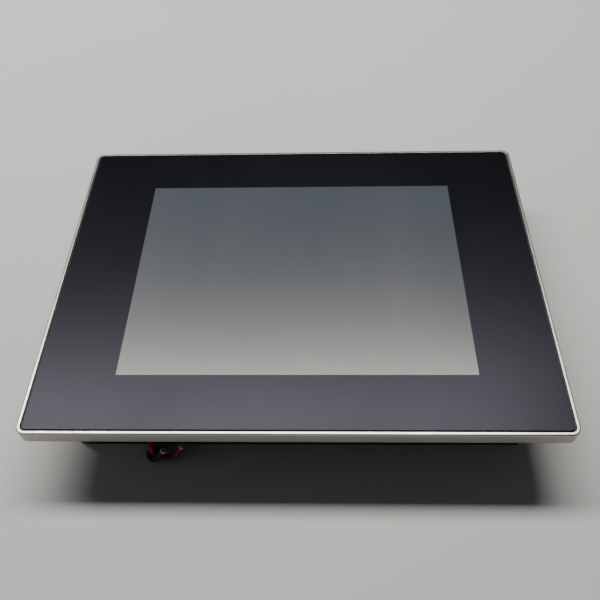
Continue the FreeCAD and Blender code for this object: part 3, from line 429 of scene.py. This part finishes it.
# Two directions square to a line and to each other.
def acrossOf(direction):
    along = np.asarray(Vector(direction).normalized())
    helper = np.array([0.0, 0.0, 1.0]) if abs(along[2]) < 0.9 else np.array([1.0, 0.0, 0.0])
    first = np.cross(helper, along)
    first /= np.linalg.norm(first)
    return along, first, np.cross(along, first)


# A profile of distance along and radius spun about a line: each point is the start plus the
# distance along the line plus the radius round it at every angle.
def spun(name, profile, start, direction, steps=24, closed=False):
    along, first, second = acrossOf(direction)
    turn = np.linspace(0, 2 * np.pi, steps, endpoint=False)[:, None]
    circle = np.cos(turn) * first + np.sin(turn) * second
    far, radius = np.asarray(profile, float).T[:, :, None, None]
    loops = np.asarray(start) + along * far + circle * np.maximum(radius, 0.001 * mm)
    return skin(name, loops, closed)


# A bar along X: four copies of its outline, the two end ones shrunk by the bevel.
def bar(name, outline, start, end, bevel):
    outline = np.asarray(outline, float)
    middle = (outline.max(0) + outline.min(0)) / 2
    half = (outline.max(0) - outline.min(0)) / 2
    less = middle + (outline - middle) * (1 - bevel / half)
    loops = []
    for shape, x in ((less, start), (outline, start + bevel), (outline, end - bevel), (less, end)):
        loops.append(np.column_stack([np.full(len(shape), x), shape]))
    return skin(name, loops, closed=False)


def box2d(low, high):   # the four corners of a rectangle
    return [(low[0], low[1]), (high[0], low[1]), (high[0], high[1]), (low[0], high[1])]


def merged(name, parts):
    builder = bmesh.new()
    for part in parts:
        builder.from_mesh(part.data)
    mesh = bpy.data.meshes.new(name)
    builder.to_mesh(mesh)
    builder.free()
    for part in parts:
        bpy.data.objects.remove(part)
    smoothed(mesh)
    return addPiece(name, mesh)


def settle(item, material, slot, *replaced, body=mainBody):
    item.data.materials.clear()
    item.data.materials.append(material)
    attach(item, body)
    if replaced:
        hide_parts(*replaced)
    return item


# A merged copy of a node's mesh with its sharp edges rounded over, its flats kept flat.
def softened(node, name, material, slot, edge=0.3 * mm, segments=2, body=mainBody):
    builder = bmesh.new()
    builder.from_mesh(cadNodes[node].data)
    bmesh.ops.remove_doubles(builder, verts=builder.verts, dist=2e-6)
    mesh = bpy.data.meshes.new(name)
    builder.to_mesh(mesh)
    builder.free()
    smoothed(mesh, 30)
    item = addPiece(name, mesh)
    bevel = item.modifiers.new("rounded edges", "BEVEL")
    bevel.width = edge
    bevel.segments = segments
    bevel.limit_method = "ANGLE"
    bevel.angle_limit = radians(40)
    flats = item.modifiers.new("flat faces stay flat", "WEIGHTED_NORMAL")
    flats.weight = 100
    flats.keep_sharp = True
    return settle(item, material, slot, node, body=body)


# The two cut stubs of wire that are still in the power plug.
wires = {
    "radius": 1.7 * mm,
    "coreRadius": 1.05 * mm,
    "strandRadius": 0.34 * mm,
    "strandGap": 2.05,            # strand spacing over a strand's radius
    "endBack": 0.9 * mm,          # how far the cut end's pieces reach back along the wire
    "lipFront": 0.45 * mm,
    "lipRound": 0.2 * mm,
    "redLength": 0.0370,
    "blackLength": 0.0470,
    "redRoute": [(-88.32, -101.2, 14.0), (-88.32, -105.8, 14.0), (-88.3, -108.4, 10.4),
                 (-86.9, -108.2, 5.8), (-83.6, -107.8, 2.6), (-79.2, -108.8, 1.8),
                 (-74.4, -109.7, 4.4), (-69.8, -106.2, 12.0)],
    "blackRoute": [(-80.7, -101.2, 14.0), (-80.7, -105.9, 14.0), (-81.4, -107.5, 9.7),
                   (-82.8, -104.7, 5.1), (-85.8, -102.5, 2.3), (-89.6, -103.0, 1.8),
                   (-91.8, -106.8, 1.8), (-89.6, -110.8, 2.8), (-85.2, -112.1, 5.6),
                   (-79.5, -110.6, 15.2)],
}


def cutEnd(name, route, lipMaterial, strandMaterial):
    tip = np.asarray(route[-1]) * mm
    direction = tip - np.asarray(route[-2]) * mm
    outer = wires["radius"] * 1.02
    core = wires["coreRadius"]
    back, front, ease = wires["endBack"], wires["lipFront"], wires["lipRound"]
    lip = [(-back, outer), (front - ease, outer), (front, outer - ease), (front, core + ease / 2),
           (front - 0.75 * ease, core), (-back, core)]
    ring = spun(name + "_lip", lip, tip, direction, closed=True)
    first, second = acrossOf(direction)[1:]
    strand = wires["strandRadius"]
    end = [(-back, strand), (ease / 2, strand), (0.9 * ease, 0.7 * strand)]
    strands = []
    for count in range(7):
        turn = count * np.pi / 3
        reach = wires["strandGap"] * strand * min(count, 1)   # six strands round one
        centre = tip + reach * (first * np.cos(turn) + second * np.sin(turn))
        strands.append(spun(f"strand{count}", end, centre, direction, 10))
    bundle = merged(name + "_strands", strands)
    settle(ring, lipMaterial, "red_sleeve", body="power_connector")
    settle(bundle, strandMaterial, "contact_brass", body="power_connector")
    return [ring, bundle]


def makeWire(node, slot, route, material):
    curve = bpy.data.curves.new(node + "_run", "CURVE")
    curve.dimensions = "3D"
    spline = curve.splines.new("NURBS")
    spline.points.add(len(route) - 1)
    points = np.column_stack([np.asarray(route) * mm, np.ones(len(route))])
    spline.points.foreach_set("co", points.ravel())
    spline.order_u = 3
    spline.use_endpoint_u = True
    spline.resolution_u = 10
    curve.bevel_depth = wires["radius"]
    curve.bevel_resolution = 5
    curve.use_fill_caps = True
    item = addPiece(node + "_run", curve)
    settle(item, material, slot, node, body="power_connector")


def makeWires():
    strandMetal = metalPart("dull_strands", (0.42, 0.22, 0.12), 0.5)
    lipMaterial = mouldedPart("cut_insulation", (0.72, 0.62, 0.58), 0.6)
    redEnds = cutEnd("red_end", wires["redRoute"], lipMaterial, strandMetal)
    blackEnds = cutEnd("black_end", wires["blackRoute"], lipMaterial, strandMetal)
    makeWire("wire_red", "red_sleeve", wires["redRoute"],
             wireSleeve("red_vinyl", (0.42, 0.006, 0.02)))
    makeWire("wire_black", "black_sleeve", wires["blackRoute"],
             wireSleeve("black_vinyl", (0.012, 0.012, 0.013)))
    print("wires laid")


# The metal front frame: lip, recess, sensor seat, sight hole, hollow and gasket groove.
frontFrame = {
    "corner": 5.5 * mm,
    "lipWide": 2.0 * mm,
    "lipRound": 0.8 * mm,
    "rearRound": 0.4 * mm,
    "rear": 40.9 * mm,
    "edge": 0.1 * mm,             # the small rounding that every machined edge has
    "innerCorner": 0.4 * mm,
    "recessDeep": 1.25 * mm,
    "seat": (115.5 * mm, 89.0 * mm, 46.55 * mm),      # half width, half height, floor
    "sight": (108.5 * mm, 82.25 * mm),
    "hollow": (138.5 * mm, 99.5 * mm, 45.4 * mm),
    "grooveInside": (144.0 * mm, 106.0 * mm),
    "grooveOutside": (149.0 * mm, 111.0 * mm),
    "grooveFloor": 42.9 * mm,
    "postPlaces": [(x * mm, y * mm) for x in (-122.2, 122.2) for y in (-80, -32, 32, 80)],
    "postRadius": 3.6 * mm,
    "postBore": 1.5 * mm,
    "postRear": 39.0 * mm,        # the posts reach further back than the wall
}


def makeFrame():
    part = frontFrame
    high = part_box("front_frame")[1]
    halfX, halfY, rear, top = high[0], high[1], part["rear"], high[2]
    corner = part["corner"]
    lip = part["lipWide"]
    insideX, insideY, insideCorner = halfX - lip, halfY - lip, corner - lip
    deck = top - part["recessDeep"]
    seatX, seatY, seatFloor = part["seat"]
    sightX, sightY = part["sight"]
    hollowX, hollowY, hollowFloor = part["hollow"]
    edge, small = part["edge"], part["innerCorner"]
    profile = [
        (halfX, halfY, corner, rear, part["rearRound"]),
        (halfX, halfY, corner, top, part["lipRound"]),
        (insideX, insideY, insideCorner, top, 1.5 * edge),
        (insideX, insideY, insideCorner, deck, edge),
        (seatX, seatY, small, deck, edge),
        (seatX, seatY, small, seatFloor, 0),
        (sightX, sightY, small, seatFloor, edge),
        (sightX, sightY, small, hollowFloor, edge),
        (hollowX, hollowY, small, hollowFloor, 0),
        (hollowX, hollowY, small, rear, 2 * edge),
        (*part["grooveInside"], small, rear, 1.5 * edge),
        (*part["grooveInside"], small, part["grooveFloor"], 0),
        (*part["grooveOutside"], small, part["grooveFloor"], 0),
        (*part["grooveOutside"], small, rear, 1.5 * edge),
    ]
    ring = ringSurface("frame_ring", eased(profile, 4), steps=12)
    outer, bore = part["postRadius"], part["postBore"]
    long = hollowFloor + 3 * edge - part["postRear"]
    chamfer = 2 * edge
    tube = [(0, bore), (0, outer - chamfer), (chamfer, outer), (long, outer), (long, bore)]
    posts = [spun(f"post{index}", tube, (x, y, part["postRear"]), (0, 0, 1), closed=True)
             for index, (x, y) in enumerate(part["postPlaces"])]
    settle(merged("front_frame_casting", [ring, *posts]), blastedFrameMetal(), "frame_metal",
           "front_frame")


# The black printed border and, flush in its opening, the matte window over the display.
overlay = {
    "corner": 2.6 * mm,
    "bevel": 0.3 * mm,
    "windowCorner": 0.15 * mm,
    "seam": 0.04 * mm,
    "crease": 0.06 * mm,
    "windowRim": 2.0 * mm,        # where the window's own face starts
}


def makeOverlay():
    part = overlay
    low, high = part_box("front_overlay")
    halfX, halfY, under, top = high[0], high[1], low[2], high[2]
    windowLow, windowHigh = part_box("window_film")
    windowX, windowY = windowHigh[0], windowHigh[1]
    corner, bevel, seam = part["corner"], part["bevel"], part["seam"]
    crease, windowCorner, rim = part["crease"], part["windowCorner"], part["windowRim"]
    profile = [
        (halfX, halfY, corner, under, 0),
        (halfX, halfY, corner, top - bevel, crease),
        (halfX - bevel, halfY - bevel, corner - bevel, top, crease),
        (windowX, windowY, windowCorner, top, seam),
        (windowX, windowY, windowCorner, under, 0),
    ]
    border = ringSurface("overlay_border", eased(profile), steps=12)
    settle(border, printedBorder(), "overlay_print", "front_overlay")
    profile = [
        (windowX, windowY, windowCorner, windowLow[2], 0),
        (windowX, windowY, windowCorner, top, seam),
        (windowX - rim, windowY - rim, windowCorner, top, 0),
    ]
    window = ringSurface("display_window", eased(profile, closed=False), closed=False)
    settle(window, antiGlareFilm(), "screen_film", "window_film")


# The sealing strip behind the frame, its rear face rounded like a soft strip.
panelGasket = {
    "wide": 4.6 * mm,
    "round": 0.9 * mm,
    "corner": 0.6 * mm,
    "edge": 0.1 * mm,
}


def makeGasket():
    part = panelGasket
    low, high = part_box("panel_gasket")
    halfX, halfY = high[0], high[1]
    wide = part["wide"]
    profile = [
        (halfX, halfY, part["corner"] + wide, high[2], part["edge"]),
        (halfX, halfY, part["corner"] + wide, low[2], part["round"]),
        (halfX - wide, halfY - wide, part["corner"], low[2], part["round"]),
        (halfX - wide, halfY - wide, part["corner"], high[2], part["edge"]),
    ]
    strip = ringSurface("sealing_strip", eased(profile))
    settle(strip, mouldedPart("sealing_rubber", (0.022, 0.022, 0.024), 0.75, 600, 0.5),
           "gasket_rubber", "panel_gasket")


def makeFront():
    makeFrame()
    makeOverlay()
    makeGasket()
    print("frame, overlay and seal made")


# Rear housing, cover, screws and the six clamping levers.
def makeHousing():
    moulding = housingMoulding()
    sheet = zincSheet()
    plated = metalPart("plated_screws", (0.56, 0.56, 0.57), 0.32)
    softened("rear_housing", "housing_shell", moulding, "housing_plastic", 0.35 * mm)
    softened("back_cover", "cover_sheet", sheet, "sheet_steel", 0.12 * mm)
    softened("rating_label", "blank_label", ruledLabel(), "light_plastic", 0.05 * mm, 1)
    softened("cover_screws", "cover_screw_set", plated, "fastener_steel", 0.08 * mm)
    softened("clamp_screws", "clamp_screw_set", plated, "fastener_steel", 0.2 * mm)
    zinc = metalPart("lever_casting", (0.44, 0.45, 0.47), 0.45, 1300)
    for number in range(1, 7):
        name = f"clamp_lever_{number}"
        softened(name, f"lever_casting_{number}", zinc, "lever_zinc", 0.5 * mm, 3, body=name)
    softened("service_door", "service_flap", moulding, "housing_plastic", 0.2 * mm,
             body="service_door")
    print("housing and levers made")


# Sockets along the bottom side, with their contacts.
contacts = {
    "count": 8,
    "pitch": 1.02 * mm,
    "halfWide": 0.17 * mm,
    "thick": 0.35 * mm,
    "long": 9.0 * mm,
    "bevel": 0.05 * mm,
    "aboveBase": 1.9 * mm,        # from the socket's lowest and foremost faces
    "behindMouth": 3.0 * mm,
}


def makeContacts(node, side, gold):
    part = contacts
    low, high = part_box(node)
    floor, mouth = low[2] + part["aboveBase"], low[1] + part["behindMouth"]
    outline = box2d((mouth, floor), (mouth + part["long"], floor + part["thick"]))
    strips = []
    for step in range(part["count"]):
        x = (low[0] + high[0]) / 2 + (step - (part["count"] - 1) / 2) * part["pitch"]
        strips.append(bar(f"strip{step}", outline, x - part["halfWide"], x + part["halfWide"],
                          part["bevel"]))
    settle(merged(f"network_contacts_{side}", strips), gold, "contact_brass")


def makePorts():
    shell = metalPart("nickel_shell", (0.60, 0.60, 0.585), 0.3)
    gold = metalPart("gold_contact", (0.78, 0.58, 0.26), 0.28)
    black = mouldedPart("connector_black", (0.02, 0.02, 0.022), 0.45)
    for side in ("left", "right"):
        node = f"network_port_{side}"
        softened(node, f"network_shell_{side}", shell, "port_metal", 0.15 * mm)
        makeContacts(node, side, gold)
        softened(f"usb_port_{side}", f"bus_shell_{side}", shell, "port_metal", 0.12 * mm)
    softened("usb_tongues", "bus_tongues", black, "insulator_plastic", 0.15 * mm)
    softened("serial_shell", "serial_nose", shell, "port_metal", 0.2 * mm)
    softened("serial_insert", "serial_block", black, "insulator_plastic", 0.15 * mm)
    softened("serial_pins", "serial_pin_set", gold, "contact_brass", 0.15 * mm)
    softened("jack_screws", "jack_screw_set", shell, "fastener_steel", 0.25 * mm)
    softened("earth_nut", "earth_nut_set", shell, "fastener_steel", 0.25 * mm)
    softened("earth_stud", "earth_stud_bar", shell, "fastener_steel", 0.15 * mm)
    softened("power_header", "power_socket", black, "insulator_plastic", 0.25 * mm)
    body = "power_connector"
    softened("power_plug", "power_plug_block", black, "insulator_plastic", 0.35 * mm, body=body)
    softened("wire_cages", "wire_cage_set", shell, "contact_brass", 0.15 * mm, body=body)
    softened("plug_screws", "plug_screw_set", shell, "fastener_steel", 0.12 * mm, body=body)
    softened("plug_lock_screws", "plug_lock_set", shell, "fastener_steel", 0.15 * mm, body=body)
    print("connectors made")


# The parts that only show through the vents and openings keep their shapes.
def dressInside():
    sheet = zincSheet()
    resin = mouldedPart("chip_resin", (0.015, 0.015, 0.017), 0.4)
    white = mouldedPart("white_moulding", (0.7, 0.71, 0.71), 0.5)
    black = mouldedPart("inner_black", (0.02, 0.02, 0.022), 0.5)
    foam = mouldedPart("foam_strip", (0.02, 0.02, 0.021), 0.9, 700, 0.6)
    amber = mouldedPart("amber_film", (0.35, 0.16, 0.03), 0.35)
    plated = metalPart("inner_plating", (0.56, 0.56, 0.57), 0.34)
    gold = metalPart("inner_contact", (0.78, 0.58, 0.26), 0.3)
    fins = metalPart("black_fins", (0.05, 0.05, 0.055), 0.5)
    cream = mouldedPart("button_cream", (0.6, 0.56, 0.48), 0.35)
    glass = mouldedPart("cell_glass", (0.02, 0.022, 0.026), 0.12, 400, 0.02)
    dressed = [
        (sheet, ("lcd_bezel", "chassis_plate")),
        (solderMask(), ("main_board",)),
        (resin, ("processor", "memory_chips", "inductors", "reset_switch")),
        (white, ("backlight_unit",)),
        (black, ("cell_holder", "memory_card", "overlay_adhesive")),
        (foam, ("foam_gasket",)),
        (amber, ("touch_tail", "display_cable")),
        (plated, ("hex_standoffs", "board_spacers", "board_screws", "door_pin", "card_socket",
                  "coin_cell", "capacitors")),
        (gold, ("header_pins",)),
        (fins, ("heat_sink",)),
        (cream, ("reset_button",)),
        (glass, ("lcd_glass", "touch_sensor")),
    ]
    for material, names in dressed:
        for name in names:
            mesh = cadNodes[name].data
            mesh.materials.clear()
            mesh.materials.append(material)
    print("inside dressed")


def makeFloor():
    reach = 6.0   # metres each way from the middle
    mesh = bpy.data.meshes.new("floor")
    corners = [(-reach, -reach, 0), (reach, -reach, 0), (reach, reach, 0), (-reach, reach, 0)]
    mesh.from_pydata(corners, [], [(0, 1, 2, 3)])
    mesh.materials.append(floorPaint())
    addPiece("floor", mesh)


makeCamera()
makeWires()
makeStudio()
makeFloor()
makeFront()
makeHousing()
makePorts()
dressInside()
